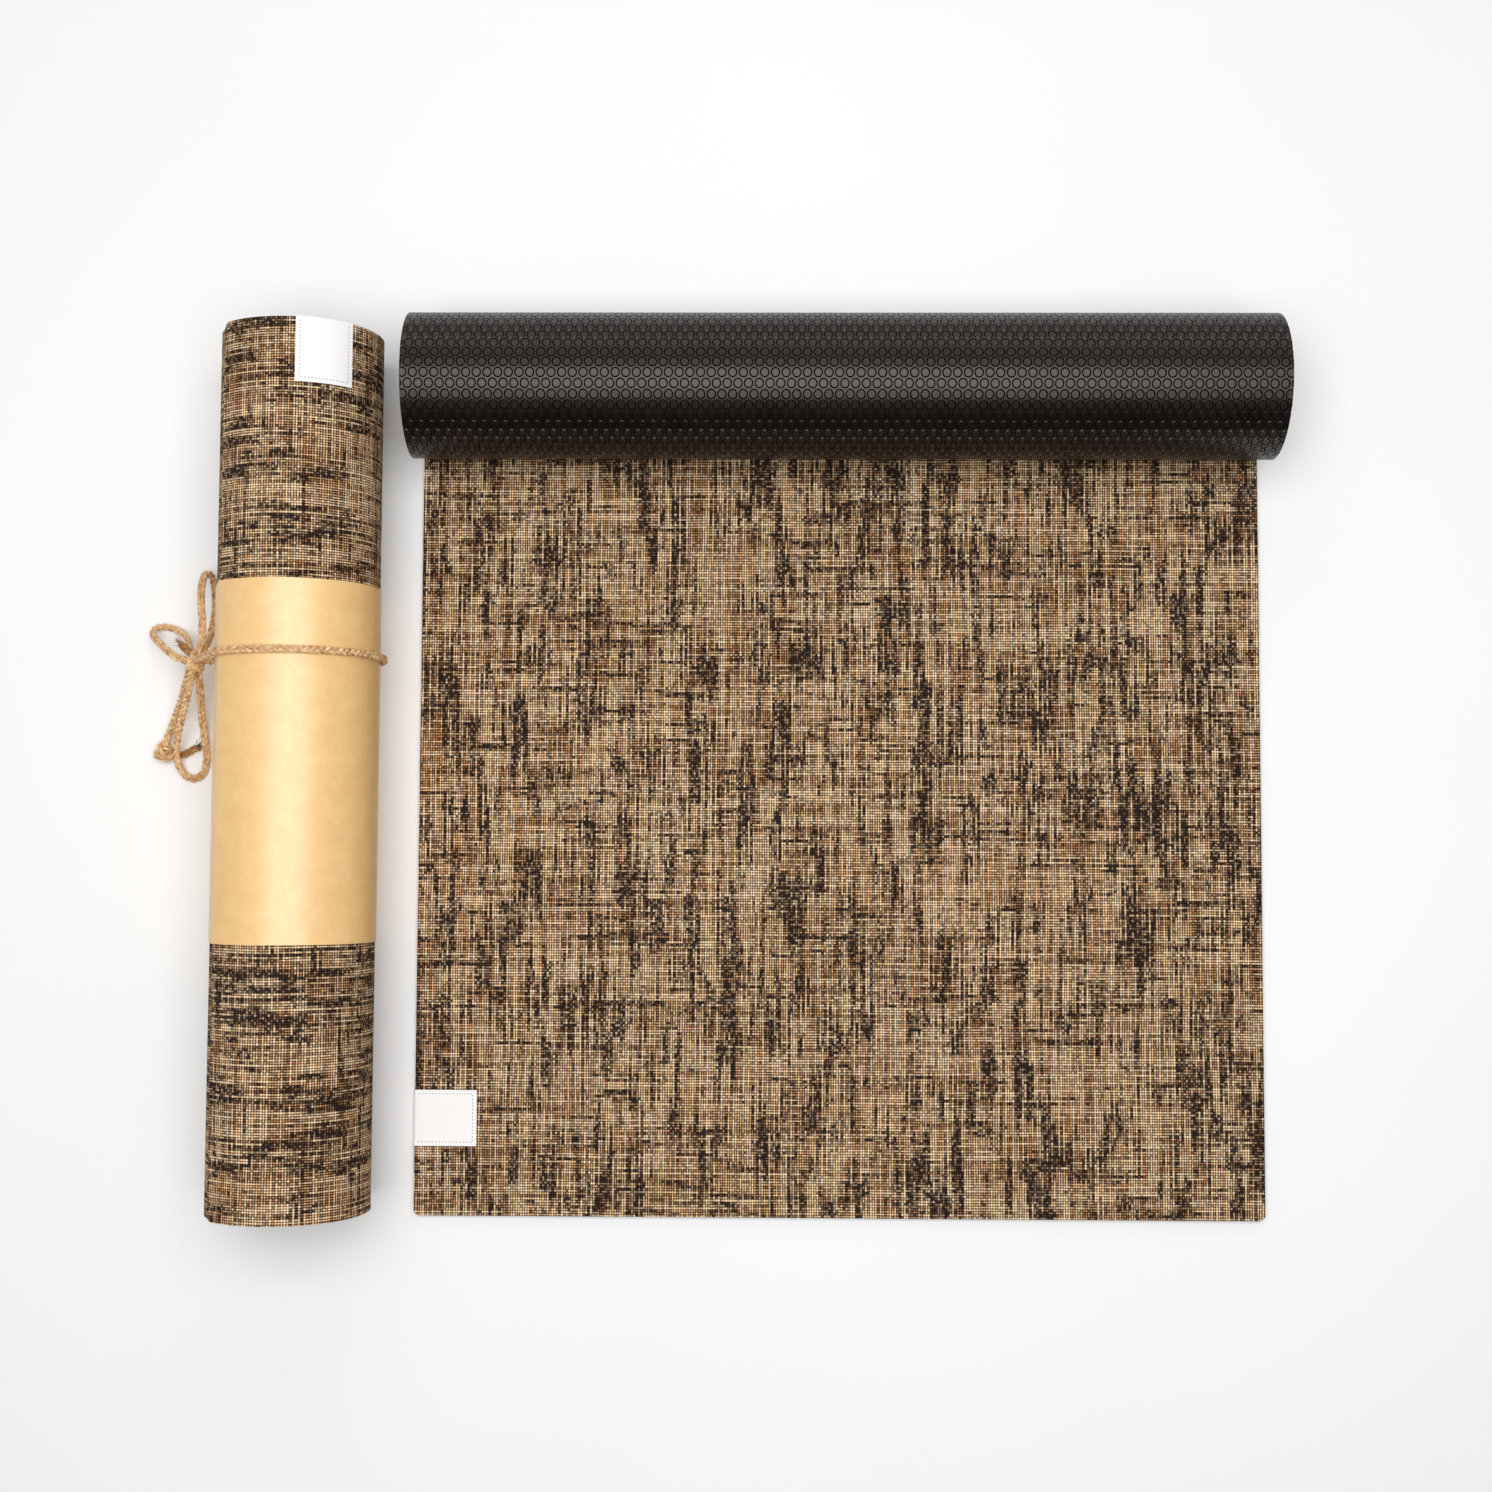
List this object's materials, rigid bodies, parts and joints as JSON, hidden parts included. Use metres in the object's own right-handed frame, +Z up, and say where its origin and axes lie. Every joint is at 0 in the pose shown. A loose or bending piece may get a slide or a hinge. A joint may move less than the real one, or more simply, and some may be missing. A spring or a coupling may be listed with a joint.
{
  "type": "yoga mat",
  "caption": "Woven jute yoga mat on a dimpled foam base, partly unrolled, beside a like mat rolled up in a kraft paper sleeve tied with a cord bow.",
  "frame": {"origin": "middle of the row's box at the floor, the free cord of the bow left out", "axes": "+X across the open mat away from the rolled one, +Y from the open mat's near edge to its roll, +Z up"},
  "size_m": [0.8082, 0.6424, 0.1244],
  "materials": {
    "jute_weave": "coarse plain weave of tan jute with dark slubs, matt",
    "dimpled_foam": "embossed foam, satin, near black",
    "label_cotton": "smooth white cotton tape",
    "kraft_card": "uncoated kraft card, faint sheen",
    "jute_cord": "twisted natural jute, hairy and matt"
  },
  "bodies": {
    "open_mat": {"open_jute_flat": "jute_weave", "open_foam_flat": "dimpled_foam", "open_label": "label_cotton"},
    "open_roll": {"open_jute_roll": "jute_weave", "open_foam_roll": "dimpled_foam"},
    "rolled_mat": {"rolled_jute": "jute_weave", "rolled_foam": "dimpled_foam", "rolled_label": "label_cotton"},
    "sleeve": {"paper_sleeve": "kraft_card"},
    "tie": {"tie_band": "jute_cord", "bow_knot": "jute_cord", "bow_loop_upper": "jute_cord", "bow_loop_left": "jute_cord", "bow_loop_lower": "jute_cord", "bow_tail": "jute_cord", "end_knot": "jute_cord", "end_stub": "jute_cord", "cut_end": "jute_cord"}
  },
  "joints": [
    {"name": "roll_up", "type": "slide", "parent": "open_mat", "child": "open_roll", "axis": [0, -1, 0], "range_m": [0, 0.44], "deforming": ["open_jute_flat", "open_foam_flat"]},
    {"name": "lift_roll", "type": "slide", "parent": "open_mat", "child": "rolled_mat", "axis": [0, 0, 1], "range_m": [0, 0.25]},
    {"name": "slide_sleeve", "type": "slide", "parent": "rolled_mat", "child": "sleeve", "axis": [0, -1, 0], "range_m": [-0.12, 0.44]},
    {"name": "slide_tie", "type": "slide", "parent": "sleeve", "child": "tie", "axis": [0, -1, 0], "range_m": [-0.044, 0.19]}
  ]
}
